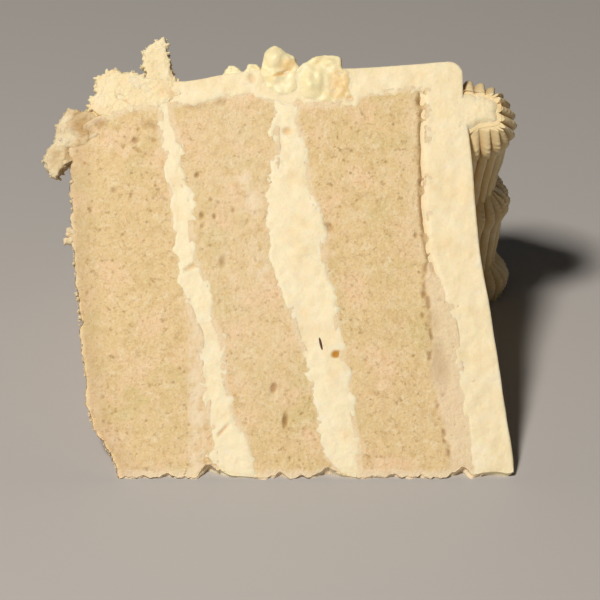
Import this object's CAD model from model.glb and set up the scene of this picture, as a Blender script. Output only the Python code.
"""The looks of a slice of iced three-layer butter cake with a piped shell border, lying on a cut face.

The cake's height runs along X, from its underside at -X to its iced top at +X. The slice's point is towards -Y and
its iced outer side towards +Y. Every layer is a section of the cake, swept about the cake's own axis from the upper
cut face down to the lower one. In such a section a place is (height, radius): height along the cake's axis from its
middle, and radius out from that axis. Lengths in the tables are millimetres, and meshes are sized to metres last.
"""

import logging
import math
import random
from collections.abc import Callable, Sequence
from dataclasses import dataclass
from enum import Enum

import bmesh
import bpy
import numpy as np
from mathutils import Matrix, Vector, noise


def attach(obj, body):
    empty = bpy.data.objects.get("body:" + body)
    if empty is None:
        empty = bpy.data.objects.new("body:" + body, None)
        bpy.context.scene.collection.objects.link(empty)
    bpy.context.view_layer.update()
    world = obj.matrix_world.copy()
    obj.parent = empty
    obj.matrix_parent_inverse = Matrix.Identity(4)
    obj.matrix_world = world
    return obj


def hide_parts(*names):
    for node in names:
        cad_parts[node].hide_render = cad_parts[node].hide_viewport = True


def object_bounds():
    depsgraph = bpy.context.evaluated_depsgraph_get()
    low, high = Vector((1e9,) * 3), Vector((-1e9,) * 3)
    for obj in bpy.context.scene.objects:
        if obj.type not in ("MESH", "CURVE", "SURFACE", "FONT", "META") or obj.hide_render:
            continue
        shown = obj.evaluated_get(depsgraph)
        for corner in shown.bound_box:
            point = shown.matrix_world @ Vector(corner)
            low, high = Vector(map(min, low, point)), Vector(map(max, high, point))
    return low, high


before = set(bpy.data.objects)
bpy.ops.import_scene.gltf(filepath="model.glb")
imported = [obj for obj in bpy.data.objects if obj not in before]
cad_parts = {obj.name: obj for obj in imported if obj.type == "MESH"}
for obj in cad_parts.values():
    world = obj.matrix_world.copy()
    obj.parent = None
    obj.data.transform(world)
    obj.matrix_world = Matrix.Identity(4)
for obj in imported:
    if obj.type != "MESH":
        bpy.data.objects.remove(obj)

LOG = logging.getLogger("cake")
MM = 0.001
BODY = "root"

CAD_LOW, CAD_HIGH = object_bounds()
# The tallest shell's crest above the cake's middle, and the point's reach from the cake's axis.
CREST_HEIGHT = 43.31
TIP_REACH = 1.11
MIDDLE_X = CAD_HIGH.x / MM - CREST_HEIGHT
AXIS_Y = CAD_LOW.y / MM - TIP_REACH

WEDGE = math.radians(46)
TIP_RADIUS = 0.8
# How far the layers drift together across the slice, how wide its waves are, and the seed that fixes them: without
# a seed of its own, Blender's vector noise is another one on each run.
DRIFT = 1.1
DRIFT_WAVE = 34.0
DRIFT_SEED = 7
# The ring that the piped shells sit on, and how much further out their crests are.
SHELL_RING = 73.0
CREST_OFFSET = 0.3
# The star nozzle's ridges round a shell's half turn, how sharp its valleys are, and the cut shell's half sizes.
RIDGES = 12
VALLEY_SHARPNESS = 0.75
CUT_SHELL_HALF_WIDTH = 8.3
CUT_SHELL_HEIGHT = 10.2


class Slot(Enum):
    """The record's material slots."""

    SPONGE = "sponge"
    FILLING = "filling"
    ICING = "icing"
    PIPED = "piped_icing"


# ---------------------------------------------------------------- curves and the slice's form


@dataclass(frozen=True)
class Curve:
    """A smooth line through values at rising places, all in millimetres."""

    places: tuple[float, ...]
    values: tuple[float, ...]

    def at(self, place: np.ndarray) -> np.ndarray:
        """Reads the line, which stays level beyond its ends.

        Args:
            place: Where to read it.

        Returns:
            The values there.
        """
        places, values = np.array(self.places, float), np.array(self.values, float)
        wide_places = np.concatenate([places[:1], places, places[-1:]])
        wide_values = np.concatenate([values[:1], values, values[-1:]])
        slopes = (wide_values[2:] - wide_values[:-2]) / (wide_places[2:] - wide_places[:-2])
        at = np.clip(place, places[0], places[-1])
        k = np.clip(np.searchsorted(places, at, side="right") - 1, 0, len(places) - 2)
        span = places[k + 1] - places[k]
        t = (at - places[k]) / span
        return (
            (2 * t**3 - 3 * t**2 + 1) * values[k]
            + (t**3 - 2 * t**2 + t) * span * slopes[k]
            + (3 * t**2 - 2 * t**3) * values[k + 1]
            + (t**3 - t**2) * span * slopes[k + 1]
        )


SEAM_RADII = (1.5, *range(4, 80, 4))


def seam(*heights: float) -> Curve:
    """A seam between two layers, as its height at each of the seam radii from the point to the rim."""
    return Curve(SEAM_RADII, heights)


UNDERSIDE = seam(
    -34.6, -35.6, -38.0, -40.1, -40.7, -41.1, -41.7, -42.1, -42.5, -43.0,
    -43.4, -43.8, -44.1, -44.3, -44.4, -44.6, -44.8, -44.8, -44.8, -44.8,
)  # fmt: skip
LOWER_FILLING_UNDER = seam(
    -15.2, -16.5, -16.2, -17.8, -18.1, -19.2, -19.6, -19.5, -21.1, -22.2,
    -22.7, -23.3, -24.0, -24.7, -24.7, -25.7, -26.0, -27.5, -27.6, -27.6,
)  # fmt: skip
LOWER_FILLING_OVER = seam(
    -9.1, -9.3, -10.1, -12.4, -13.1, -14.2, -14.3, -14.8, -16.6, -17.2,
    -18.1, -20.0, -20.6, -20.8, -21.0, -23.2, -23.4, -23.4, -24.7, -25.0,
)  # fmt: skip
UPPER_FILLING_UNDER = seam(
    7.5, 5.3, 4.2, 3.6, 2.8, 1.8, 1.0, -0.8, -1.8, -2.7,
    -4.1, -5.2, -5.7, -5.7, -5.5, -5.3, -4.8, -4.9, -4.9, -4.9,
)  # fmt: skip
UPPER_FILLING_OVER = seam(
    12.0, 11.6, 11.3, 10.6, 9.9, 9.2, 8.6, 7.9, 7.3, 6.7,
    5.4, 4.9, 4.7, 3.9, 2.7, 2.0, 1.3, 0.6, -0.2, -0.4,
)  # fmt: skip
ICING_UNDER = seam(
    33.6, 33.2, 32.8, 32.2, 31.4, 30.7, 30.1, 29.6, 29.0, 28.4,
    27.6, 26.1, 25.4, 25.0, 24.8, 24.8, 24.8, 24.9, 24.9, 24.9,
)  # fmt: skip
ICING_TOP = seam(
    40.5, 40.5, 40.0, 39.4, 38.9, 38.4, 37.9, 37.3, 36.8, 36.2,
    35.5, 34.9, 34.5, 34.2, 33.9, 33.7, 33.4, 33.0, 32.5, 31.9,
)  # fmt: skip
RIM = Curve(
    (-44, -41, -37.7, -32.8, -27.6, -23.1, -19.4, -15.6, -11.9, -8.6, -4.5, 0.4, 4, 9.4, 13, 18, 22.5, 26),
    (68.2, 70.4, 71.8, 73.4, 73.7, 74.5, 74.9, 75.9, 76.5, 77.0, 74.8, 74.2, 74.2, 74.8, 76.3, 76.9, 77.6, 77.8),
)
SIDE = Curve((-40, -37, -31, -23, -14, -4, 8, 20, 29), (77.8, 80.2, 80.3, 79.4, 81.0, 82.0, 82.0, 82.7, 83.5))


# The browned crust between the top sponge and the strip of it that the icing has soaked.
CRUST = Curve((1.5, 9.7, 21.5, 31.3, 38.7, 44), (28.6, 27.5, 24.9, 25.2, 23.9, 24.6))
CRUST_END = 43.0

# Where the thin edge at the slice's point has broken away: height, half widths towards -X and +X, and depth.
POINT_NOTCHES = (
    (-17.9, 1.0, 3.8, 2.0), (-30.0, 0.6, 0.9, 0.5), (-25.2, 0.8, 0.5, 0.4), (-4.0, 0.6, 0.9, 0.5),
    (4.8, 1.2, 2.8, 1.5), (17.5, 0.5, 0.8, 0.5), (23.0, 0.9, 0.5, 0.4), (31.0, 1.7, 1.1, 1.8), (37.0, 3.8, 3.0, 0.9),
    (41.0, 1.0, 1.0, 0.9),
)  # fmt: skip


def point_wear(height: np.ndarray, radius: np.ndarray) -> np.ndarray:
    """How far the slice's point has worn back at each place, which fades a few millimetres in from it."""
    wear = 0.0
    for middle, lower_half, upper_half, depth in POINT_NOTCHES:
        half = np.where(height < middle, lower_half, upper_half)
        wear = wear + depth * np.exp(-(((height - middle) / half) ** 2))
    return wear * np.exp(-(radius - TIP_RADIUS) / 2.0)


def waves(points: np.ndarray, size: float, seed: float = 0.0) -> np.ndarray:
    """Smooth noise from -1 to 1.

    Args:
        points: Places in millimetres, one per row.
        size: The width of its features in millimetres.
        seed: Picks another field of the same kind.

    Returns:
        One value per place.
    """
    return np.array([noise.noise(p) for p in (points / size + seed * 17.3).tolist()])


@dataclass
class Section:
    """Places in the cake as height, radius and angle about its axis, which suit every cut and sweep."""

    height: np.ndarray
    radius: np.ndarray
    angle: np.ndarray

    @classmethod
    def of(cls, points: np.ndarray) -> "Section":
        """The section places of points given in the cake's own millimetres, with X along its axis."""
        return cls(points[:, 0], np.hypot(points[:, 1], points[:, 2]), np.arctan2(points[:, 2], points[:, 1]))

    def points(self) -> np.ndarray:
        """The places as points in the cake's own millimetres, one per row."""
        return np.stack(
            [self.height, self.radius * np.cos(self.angle), self.radius * np.sin(self.angle)], axis=1
        )

    def wander(self) -> None:
        """Lets all the layers drift together, by nothing at the upper cut face and most at the lower one."""
        for k, p in enumerate((self.as_rows() / DRIFT_WAVE).tolist()):
            drift = noise.noise_vector(p) * DRIFT * (1 - self.angle[k] / WEDGE)
            self.height[k] += drift.x
            self.radius[k] += drift.y * self.radius[k] / SHELL_RING

    def as_rows(self) -> np.ndarray:
        """Height, radius and the length round the shell ring, one row per place, as a field to read noise in."""
        return np.stack([self.height, self.radius, self.angle * SHELL_RING], axis=1)


CUT_NORMAL = np.array((0.0, -math.sin(WEDGE), math.cos(WEDGE)))
CUT_OUTWARD = np.array((0.0, math.cos(WEDGE), math.sin(WEDGE)))


def on_cut(height: float, radius: float, lift: float = 0.0) -> Vector:
    """A point on the upper cut face, or lifted off it, in the cake's own millimetres."""
    return Vector((height, 0, 0)) + Vector(CUT_OUTWARD) * radius + Vector(CUT_NORMAL) * lift


# ---------------------------------------------------------------- meshes


def mesh_points(mesh: bpy.types.Mesh) -> np.ndarray:
    """A mesh's points, one per row."""
    flat = np.empty(len(mesh.vertices) * 3)
    mesh.vertices.foreach_get("co", flat)
    return flat.reshape(-1, 3)


def set_points(mesh: bpy.types.Mesh, points: np.ndarray) -> None:
    """Moves a mesh's points to new places."""
    mesh.vertices.foreach_set("co", np.ascontiguousarray(points, dtype=np.float32).ravel())
    mesh.update()


def mesh_normals(mesh: bpy.types.Mesh) -> np.ndarray:
    """A mesh's point normals, one per row."""
    flat = np.empty(len(mesh.vertices) * 3, np.float32)
    mesh.vertex_normals.foreach_get("vector", flat)
    return flat.reshape(-1, 3).astype(float)


def set_value(mesh: bpy.types.Mesh, name: str, values: np.ndarray) -> None:
    """Stores one number per point, for the finish to read."""
    layer = mesh.attributes.new(name, "FLOAT", "POINT")
    layer.data.foreach_set("value", np.ascontiguousarray(values, dtype=np.float32))


def to_mesh(bm: bmesh.types.BMesh, name: str) -> bpy.types.Mesh:
    """Turns a finished bmesh into a mesh and frees it."""
    mesh = bpy.data.meshes.new(name)
    bm.to_mesh(mesh)
    bm.free()
    return mesh


@dataclass(frozen=True)
class Sweep:
    """How finely a section is swept: fine steps next to the upper cut face, and broad ones beyond."""

    fine_angle: float = 6.0
    fine_steps: int = 12
    broad_steps: int = 30

    def stages(self) -> tuple[tuple[float, int], ...]:
        """The turn in radians and the number of steps of each stage, from the upper cut face down."""
        fine = math.radians(self.fine_angle)
        return ((fine, self.fine_steps), (WEDGE - fine, self.broad_steps))


def swept_slab(
    name: str,
    cells: tuple[int, int],
    section: Callable[[np.ndarray, np.ndarray], tuple[np.ndarray, np.ndarray]],
    sweep: Sweep,
) -> bpy.types.Mesh:
    """A closed slab: a fine grid on the upper cut face, whose border is swept down to the lower cut face.

    Args:
        name: The mesh's name.
        cells: How many grid cells there are along and across.
        section: Gives (heights, radii) for two arrays that run from 0 to 1 along and across the grid.
        sweep: How finely it is swept.

    Returns:
        The mesh in the cake's own millimetres.
    """
    bm = bmesh.new()
    bmesh.ops.create_grid(bm, x_segments=cells[0], y_segments=cells[1], size=0.5)
    grid = np.array([vert.co[:2] for vert in bm.verts]) + 0.5
    height, radius = section(np.clip(grid[:, 0], 0, 1), np.clip(grid[:, 1], 0, 1))
    for vert, point in zip(bm.verts, Section(height, radius, np.full(len(height), WEDGE)).points(), strict=True):
        vert.co = point
    ring = [edge for edge in bm.edges if edge.is_boundary]
    ends = [*ring, *{vert for edge in ring for vert in edge.verts}]
    for angle, steps in sweep.stages():
        spun = bmesh.ops.spin(
            bm, geom=ends, cent=(0, 0, 0), axis=(1, 0, 0), dvec=(0, 0, 0),
            angle=-angle, steps=steps, use_duplicate=False,
        )  # fmt: skip
        ends = spun["geom_last"]
    bmesh.ops.contextual_create(bm, geom=[item for item in ends if isinstance(item, bmesh.types.BMEdge)])
    bmesh.ops.recalc_face_normals(bm, faces=bm.faces)
    return to_mesh(bm, name)


def knit(bm: bmesh.types.BMesh, name: str, voxel: float) -> bpy.types.Mesh:
    """Melts overlapping slabs and balls into one closed skin.

    Args:
        bm: The slabs and balls, in millimetres. It is freed.
        name: The mesh's name.
        voxel: The skin's cell size in millimetres.

    Returns:
        The skin's mesh, still in millimetres.
    """
    loose = bpy.data.objects.new(name, to_mesh(bm, name))
    bpy.context.scene.collection.objects.link(loose)
    remesh = loose.modifiers.new("melt", "REMESH")
    remesh.mode = "VOXEL"
    remesh.voxel_size = voxel
    bpy.context.view_layer.update()
    skin = bpy.data.meshes.new_from_object(loose.evaluated_get(bpy.context.evaluated_depsgraph_get()))
    bpy.data.meshes.remove(loose.data)
    skin.name = name
    return skin


def smoothed(mesh: bpy.types.Mesh, rounds: int) -> None:
    """Relaxes a mesh's points halfway towards their neighbours, round by round."""
    bm = bmesh.new()
    bm.from_mesh(mesh)
    for _ in range(rounds):
        bmesh.ops.smooth_vert(bm, verts=bm.verts, factor=0.5, use_axis_x=True, use_axis_y=True, use_axis_z=True)
    bm.to_mesh(mesh)
    bm.free()


def set_face(
    mesh: bpy.types.Mesh, moved: np.ndarray, lift: np.ndarray, on_face: np.ndarray, pit: np.ndarray
) -> None:
    """Places a swept slab's points, with its cut face lifted and stained.

    Args:
        mesh: The slab's mesh.
        moved: Its points' places before the lift.
        lift: How far each is raised off the cut face.
        on_face: Which of them are on the cut face.
        pit: How stained each is.
    """
    moved[on_face] += CUT_NORMAL * lift[on_face, None]
    set_points(mesh, moved)
    set_value(mesh, "pit", pit * on_face)


def finished(mesh: bpy.types.Mesh, material: bpy.types.Material, slot: Slot, *nodes: str) -> bpy.types.Object:
    """Places a mesh in the shared frame as a finished piece.

    Args:
        mesh: The mesh in the cake's own millimetres.
        material: Its finish.
        slot: The record's material slot.
        nodes: The solids that it stands for.

    Returns:
        The piece's object.
    """
    points = mesh_points(mesh)
    points[:, 2] = np.maximum(points[:, 2], 0)
    set_points(mesh, (points + (MIDDLE_X, AXIS_Y, 0)) * MM)
    mesh.shade_smooth()
    mesh.materials.append(material)
    piece = bpy.data.objects.new(mesh.name, mesh)
    bpy.context.scene.collection.objects.link(piece)
    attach(piece, BODY)
    if nodes:
        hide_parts(*nodes)
    LOG.info("%s: %d faces", piece.name, len(mesh.polygons))
    return piece


# ---------------------------------------------------------------- finishes


def linear(colour: str) -> tuple[float, float, float, float]:
    """Turns an sRGB hex colour into the linear colour that shaders take."""
    parts = [int(colour[k : k + 2], 16) / 255 for k in (1, 3, 5)]
    return (*(c / 12.92 if c <= 0.04045 else ((c + 0.055) / 1.055) ** 2.4 for c in parts), 1.0)


def per_mm(size: float) -> float:
    """A texture's scale for features of a size in millimetres."""
    return 1 / (size * MM)


def add_node(
    tree: bpy.types.NodeTree, kind: str, settings: dict | None = None, links: dict | None = None
) -> bpy.types.Node:
    """Adds a node with its settings and links.

    Args:
        tree: The material's nodes.
        kind: The node's type.
        settings: Values for the node's own properties.
        links: For each input, the socket that feeds it or the value that it holds.

    Returns:
        The node.
    """
    node = tree.nodes.new(kind)
    for key, value in (settings or {}).items():
        setattr(node, key, value)
    for key, value in (links or {}).items():
        if isinstance(value, bpy.types.NodeSocket):
            tree.links.new(value, node.inputs[key])
        else:
            node.inputs[key].default_value = value
    return node


def mixed(
    tree: bpy.types.NodeTree, share: bpy.types.NodeSocket, under: object, tint: str
) -> bpy.types.NodeSocket:
    """Lays a tint over a colour.

    Args:
        tree: The material's nodes.
        share: The socket of how much of the tint shows.
        under: The socket or colour under it.
        tint: The tint, as sRGB hex.

    Returns:
        The socket of the new colour.
    """
    settings = {"data_type": "RGBA", "blend_type": "MIX"}
    return add_node(tree, "ShaderNodeMix", settings, {0: share, 6: under, 7: linear(tint)}).outputs[2]


def stained(tree: bpy.types.NodeTree, colour: object, *stains: tuple[str, str]) -> bpy.types.NodeSocket:
    """Lays tints over a colour where the mesh's own values say.

    Args:
        tree: The material's nodes.
        colour: The socket or colour under them.
        stains: For each, the name of the mesh's value and the tint.

    Returns:
        The socket of the stained colour.
    """
    for name, tint in stains:
        mask = add_node(tree, "ShaderNodeAttribute", {"attribute_name": name})
        colour = mixed(tree, mask.outputs["Fac"], colour, tint)
    return colour


@dataclass(frozen=True)
class Grain:
    """A surface's fine unevenness: its size in millimetres, noise roughness, strength and depth in millimetres."""

    size: float
    fineness: float
    strength: float
    depth: float

    def over(self, tree: bpy.types.NodeTree, place: bpy.types.NodeSocket, shader: bpy.types.Node) -> None:
        """Roughens a shader's surface.

        Args:
            tree: The material's nodes.
            place: The coordinates.
            shader: The shader.
        """
        field = add_node(
            tree, "ShaderNodeTexNoise", {},
            {"Vector": place, "Scale": per_mm(self.size), "Detail": 3.0, "Roughness": self.fineness},
        )  # fmt: skip
        bump = add_node(
            tree, "ShaderNodeBump", {},
            {"Height": field.outputs[0], "Strength": self.strength, "Distance": self.depth * MM},
        )  # fmt: skip
        tree.links.new(bump.outputs[0], shader.inputs["Normal"])


@dataclass(frozen=True)
class Finish:
    """What every finish shares: a moist, slightly translucent food surface."""

    name: str
    roughness: float
    translucency: float
    depth: float
    ior: float = 1.45

    def start(self) -> tuple[bpy.types.Material, bpy.types.NodeTree, bpy.types.Node, bpy.types.NodeSocket]:
        """Makes the material and its shader.

        Returns:
            The material, its nodes, its shader, and the socket of the object's own coordinates.
        """
        material = bpy.data.materials.new(self.name)
        material.use_nodes = True
        tree = material.node_tree
        shader = tree.nodes["Principled BSDF"]
        shader.inputs["Roughness"].default_value = self.roughness
        shader.inputs["IOR"].default_value = self.ior
        shader.inputs["Subsurface Weight"].default_value = self.translucency
        shader.inputs["Subsurface Radius"].default_value = (1.0, 0.62, 0.28)
        shader.inputs["Subsurface Scale"].default_value = self.depth * MM
        return material, tree, shader, add_node(tree, "ShaderNodeTexCoord").outputs["Object"]


@dataclass(frozen=True)
class Blotch:
    """One size of soft blotch in a surface: its tint, size in millimetres, noise range, strength and detail."""

    tint: str
    size: float
    low: float
    high: float
    amount: float
    detail: float = 3.0
    fineness: float = 0.55

    def over(self, tree: bpy.types.NodeTree, place: bpy.types.NodeSocket, colour: object) -> bpy.types.NodeSocket:
        """Lays the blotches over a colour.

        Args:
            tree: The material's nodes.
            place: The coordinates.
            colour: The socket or colour under them.

        Returns:
            The socket of the blotched colour.
        """
        field = add_node(
            tree, "ShaderNodeTexNoise", {},
            {"Vector": place, "Scale": per_mm(self.size), "Detail": self.detail, "Roughness": self.fineness},
        )  # fmt: skip
        share = add_node(
            tree, "ShaderNodeMapRange", {},
            {"Value": field.outputs[0], "From Min": self.low, "From Max": self.high, "To Max": self.amount},
        )  # fmt: skip
        return mixed(tree, share.outputs[0], colour, self.tint)


@dataclass(frozen=True)
class SpongeFinish(Finish):
    """Cut butter sponge: a dry, fine open crumb, which gives the eye a matt, mottled and slightly speckled beige."""

    crumb: str = "#EDD29F"
    pale: str = "#F9E5C4"
    pit: str = "#9A6C35"
    speck: str = "#A9875A"
    skin: str = "#BC9C7E"
    holes: Grain = Grain(0.55, 0.65, 0.8, 0.3)
    blotches: tuple[Blotch, ...] = (
        Blotch("#E0CB92", 9.0, 0.47, 0.66, 0.8),
        Blotch("#F7D6AD", 6.5, 0.50, 0.68, 0.9),
        Blotch("#F9E8C4", 2.4, 0.50, 0.70, 0.7, 5.0, 0.7),
        Blotch("#D8B882", 1.9, 0.50, 0.31, 0.7, 4.0, 0.7),
        Blotch("#B28C56", 1.3, 0.60, 0.76, 0.75, 2.0, 0.6),
        Blotch("#FBEBCB", 0.55, 0.52, 0.76, 0.55, 2.0, 0.6),
        Blotch("#C7A36C", 0.5, 0.45, 0.26, 0.55, 2.0, 0.6),
    )

    def build(self) -> bpy.types.Material:
        """Builds the finish.

        Returns:
            The material.
        """
        material, tree, shader, place = self.start()
        colour = linear(self.crumb)
        for blotch in self.blotches:
            colour = blotch.over(tree, place, colour)
        # Tiny dark pores and bits of browned crumb, about 0.4 mm wide and a few millimetres apart.
        cells = add_node(tree, "ShaderNodeTexVoronoi", {}, {"Vector": place, "Scale": per_mm(1.7)})
        dot = add_node(
            tree, "ShaderNodeMapRange", {}, {"Value": cells.outputs["Distance"], "From Min": 0.26, "From Max": 0.08}
        )
        chosen = add_node(
            tree, "ShaderNodeMapRange", {},
            {"Value": cells.outputs["Color"], "From Min": 0.5, "From Max": 0.9, "To Max": 0.7},
        )  # fmt: skip
        specks = add_node(
            tree, "ShaderNodeMath", {"operation": "MULTIPLY"}, {0: dot.outputs[0], 1: chosen.outputs[0]}
        )
        colour = mixed(tree, specks.outputs[0], colour, self.speck)
        colour = stained(tree, colour, ("smear", self.pale), ("skin", self.skin), ("pit", self.pit))
        tree.links.new(colour, shader.inputs["Base Color"])
        self.holes.over(tree, place, shader)
        return material


@dataclass(frozen=True)
class CreamFinish(Finish):
    """Whipped buttercream: fat and sugar beaten smooth, which gives a soft satin cream with a faint drag grain."""

    cream: str = "#FDEDCA"
    deep: str = "#F3D6A2"
    light: str = "#FFF5DC"
    pit: str = "#C08433"
    mottle: float = 0.6
    grain: float = 0.5
    grain_size: float = 0.7

    def build(self) -> bpy.types.Material:
        """Builds the finish.

        Returns:
            The material.
        """
        material, tree, shader, place = self.start()
        colour = linear(self.cream)
        for blotch in (
            Blotch(self.deep, 5.0, 0.50, 0.76, self.mottle, 3.0),
            Blotch(self.light, 4.0, 0.50, 0.76, 0.6, 3.0),
            Blotch(self.deep, 0.9, 0.56, 0.80, 0.3, 3.0, 0.65),
        ):
            colour = blotch.over(tree, place, colour)
        tree.links.new(stained(tree, colour, ("pit", self.pit)), shader.inputs["Base Color"])
        Grain(self.grain_size, 0.6, self.grain, 0.2).over(tree, place, shader)
        return material


# ---------------------------------------------------------------- the cake's layers


@dataclass(frozen=True)
class Dimple:
    """A pit, rise or stain on the upper cut face.

    It has a place, half sizes, a turn in degrees, a depth, a tint from 0 to 1, and a steepness that is low for a flat
    bottom between steep walls.
    """

    height: float
    radius: float
    along: float
    across: float
    turn: float = 0.0
    depth: float = 0.4
    tint: float = 0.6
    wall: float = 1.5

    def bowl(self, height: np.ndarray, radius: np.ndarray) -> np.ndarray:
        """How far into the dimple each place is, from 0 outside it to 1 in its middle."""
        cos, sin = math.cos(math.radians(self.turn)), math.sin(math.radians(self.turn))
        x, y = height - self.height, radius - self.radius
        reach = ((x * cos + y * sin) / self.along) ** 2 + ((y * cos - x * sin) / self.across) ** 2
        return np.clip(1 - reach, 0, 1) ** self.wall


def pressed(
    dimples: Sequence[Dimple], height: np.ndarray, radius: np.ndarray, lift: np.ndarray
) -> tuple[np.ndarray, np.ndarray]:
    """Presses dimples into the cut face.

    Args:
        dimples: The dimples.
        height: The places' heights.
        radius: Their radii.
        lift: How far each is raised off the cut face.

    Returns:
        The new lift, and how stained each place is.
    """
    pit = np.zeros(len(lift))
    for dimple in dimples:
        bowl = dimple.bowl(height, radius)
        lift = lift - dimple.depth * bowl
        pit = np.maximum(pit, dimple.tint * bowl)
    return lift, pit


@dataclass
class SpongeLayer:
    """One layer of sponge, with its open crumb on the cut face and its ragged edges."""

    name: str
    node: str
    under: Curve
    over: Curve
    seed: int
    dimples: tuple[Dimple, ...] = ()
    smears: tuple[Dimple, ...] = ()
    has_skin: bool = False
    crusted: bool = False
    cell: float = 0.26
    overlap: float = 1.3
    sweep: Sweep = Sweep()
    ragged: float = 0.75
    crumb_rise: float = 0.08
    pores: int = 120

    def section(self, along: np.ndarray, across: np.ndarray) -> tuple[np.ndarray, np.ndarray]:
        """The layer's section, slightly wider than its seams so that the cream beside it closes the joint."""
        radius = TIP_RADIUS + along * (75.0 - TIP_RADIUS)
        below = 0.0 if self.has_skin else self.overlap
        for _ in range(4):
            low, high = self.under.at(radius) - below, self.over.at(radius) + self.overlap
            height = low + (high - low) * across
            radius = TIP_RADIUS + along * (RIM.at(height) + self.overlap - TIP_RADIUS)
        return height, radius

    def random_pores(self) -> list[Dimple]:
        """The crumb's larger open pores, scattered over the layer's cut face."""
        rng = random.Random(self.seed)
        pores = []
        for _ in range(self.pores):
            radius = rng.uniform(1, 77)
            low, high = (float(edge.at(np.array(radius))) for edge in (self.under, self.over))
            size = 0.2 + 0.35 * rng.random() ** 5
            stretch = rng.uniform(1, 1.7)
            pores.append(
                Dimple(
                    rng.uniform(low, high), radius, size * stretch, size, rng.uniform(0, 180),
                    size * rng.uniform(0.3, 0.8), rng.uniform(0.1, 0.45),
                )  # fmt: skip
            )
        return pores

    def add_crust(
        self, points: np.ndarray, height: np.ndarray, radius: np.ndarray, lift: np.ndarray, pit: np.ndarray,
        smear: np.ndarray,
    ) -> tuple[np.ndarray, np.ndarray, np.ndarray]:  # fmt: skip
        """Adds the browned gap under the icing, and the strip that the icing has soaked beyond it.

        Args:
            points: The mesh's points.
            height: Their heights.
            radius: Their radii.
            lift: How far each is raised off the cut face.
            pit: How brown each is.
            smear: How creamy each is.

        Returns:
            The new lift, pit and smear.
        """
        patchy = waves(points, 2.4, self.seed + 6) + 0.5 * waves(points, 0.9, self.seed + 7)
        under = self.over.at(radius) - height + 0.25 * waves(points, 3.0, self.seed + 8)
        gap = np.exp(-(((under - 1.15) / 0.46) ** 2)) * (radius > CRUST_END) * np.clip(patchy * 1.5 + 1.0, 0.35, 1)
        beyond = height - CRUST.at(radius) + 0.5 * waves(points, 2.6, self.seed + 9)
        soaked = np.clip(beyond / 0.8 + 0.3, 0, 1) * (radius < CRUST_END)
        line = np.exp(-((beyond / 0.4) ** 2)) * (radius < CRUST_END) * np.clip(patchy * 2.0, 0, 0.6)
        pale_band = np.exp(-(((under - 3.0) / 1.3) ** 2)) * (radius > CRUST_END)
        smear = np.maximum(smear * (gap < 0.2), np.maximum(0.6 * soaked, 0.25 * pale_band))
        return lift - 1.0 * gap - 0.4 * line, np.maximum(pit, np.maximum(gap, line)), smear

    def worn_corner(self, place: Section) -> np.ndarray:
        """How far the underside has worn away below the upper cut face, near the slice's point."""
        seen = place.radius * (0.5 * np.cos(place.angle) + 0.866 * np.sin(place.angle)) / 0.97
        worn = self.under.at(np.maximum(seen, TIP_RADIUS)) - self.under.at(place.radius)
        fade = np.clip((34 - place.radius) / 14, 0, 1)
        near = np.clip(1 - (place.height - self.under.at(place.radius)) / 8, 0, 1)
        return np.maximum(worn, 0) * fade * near

    def build(self, material: bpy.types.Material) -> bpy.types.Object:
        """Builds the layer.

        Args:
            material: Its finish.

        Returns:
            The piece.
        """
        cells = (int(75 / self.cell), int(26 / self.cell))
        mesh = swept_slab(self.name, cells, self.section, self.sweep)
        points = mesh_points(mesh)
        place = Section.of(points)
        on_face = place.angle > WEDGE - 1e-5
        height, radius = place.height.copy(), place.radius.copy()
        rough = waves(points, 1.9, self.seed) + 0.6 * waves(points, 0.8, self.seed + 1)
        low, high = self.under.at(radius), self.over.at(radius)
        from_tip = radius - TIP_RADIUS
        if self.has_skin:
            place.height += self.worn_corner(place)
            place.height += 0.7 * np.clip((WEDGE - place.angle) * radius / 6.0, 0, 1) * np.exp(-(height - low) / 4.0)
        place.radius -= self.ragged * (rough + 0.1) * np.exp(-from_tip / 1.3)
        place.radius += point_wear(height, radius)
        if self.has_skin:
            place.height -= self.ragged * 0.8 * rough * np.exp(-(height - low) / 1.3)
        place.wander()

        lift = self.crumb_rise * (waves(points, 1.5, self.seed + 2) + waves(points, 0.7, self.seed + 3))
        lift += 0.25 * waves(points, 14, self.seed + 4)
        lift, pit = pressed((*self.random_pores(), *self.dimples), height, radius, lift)
        smear = np.zeros(len(points))
        for patch in self.smears:
            bowl = patch.bowl(height, radius)
            lift += patch.depth * bowl
            smear = np.maximum(smear, patch.tint * bowl * np.clip(0.75 + rough, 0, 1))
        inside = np.minimum(high - height, RIM.at(height) - radius)
        if not self.has_skin:
            inside = np.minimum(inside, height - low)
        lift -= 1.5 * np.maximum(-inside - 1.0, 0) + 0.2 * np.exp(-from_tip / 0.8)
        reach = 0.3 + 0.9 * np.maximum(waves(points, 3.0, self.seed + 5) + 0.15, 0)
        smear = np.maximum(smear, 0.6 * np.clip(1 - inside / reach, 0, 1))
        if self.crusted:
            lift, pit, smear = self.add_crust(points, height, radius, lift, pit, smear)
        if self.has_skin:
            lift -= 0.6 * np.exp(-np.maximum(height - low, 0) / 0.8)
            smear = np.maximum(smear, 0.8 * np.clip(1 - (height - low) / (0.7 + 0.6 * rough), 0, 1))
        set_face(mesh, place.points(), lift, on_face, pit)
        set_value(mesh, "smear", np.maximum(smear * on_face, 0.85 * np.clip(1.5 - from_tip, 0, 1)))
        skin = np.zeros(len(points))
        if self.has_skin:
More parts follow.
